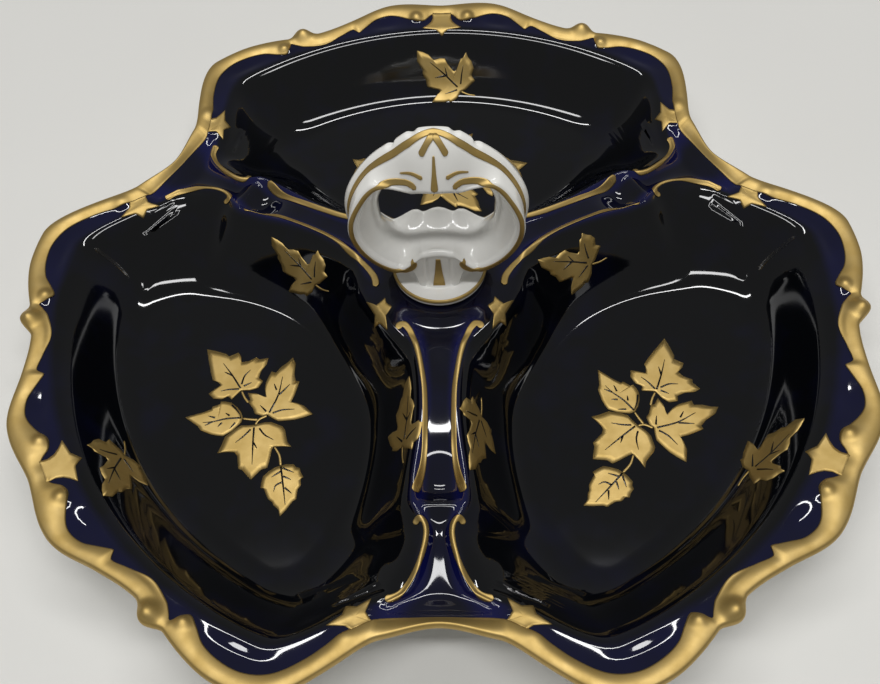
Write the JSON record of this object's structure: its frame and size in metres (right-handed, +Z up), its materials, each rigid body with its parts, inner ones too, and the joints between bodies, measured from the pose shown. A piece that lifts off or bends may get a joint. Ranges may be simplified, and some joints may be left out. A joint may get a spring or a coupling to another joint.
{
  "type": "handled serving dish",
  "caption": "Lobed porcelain relish dish with divided wells, a scrolled gilded edge and a loop handle screwed to its raised hub.",
  "frame": {"origin": "on the table plane, under the middle of the dish's outline; the hub and handle axis is 5.0 mm in front of it", "axes": "+Z up; +Y towards the single back lobe, away from the viewer; +X to the viewer's right; the handle's loop is open along Y"},
  "size_m": [0.3244, 0.3159, 0.113],
  "materials": {
    "cobalt_glaze": "deep cobalt-blue gloss glaze on white porcelain, with burnished gold on the edge",
    "white_glaze": "clear gloss glaze on white porcelain, with gold lines",
    "stud_brass": "drawn brass rod with a rolled thread",
    "cement": "set plaster cement, matt",
    "cork": "pressed cork sheet",
    "rubber": "black rubber sheet",
    "washer_brass": "stamped brass, dull",
    "nut_brass": "turned brass, dull"
  },
  "bodies": {
    "root": {"dish": "cobalt_glaze", "handle": "white_glaze", "handle_stud": "stud_brass", "stud_cement": "cement", "handle_washer": "cork", "hub_washer": "rubber", "nut_washer": "washer_brass", "stud_nut": "nut_brass"}
  },
  "joints": []
}
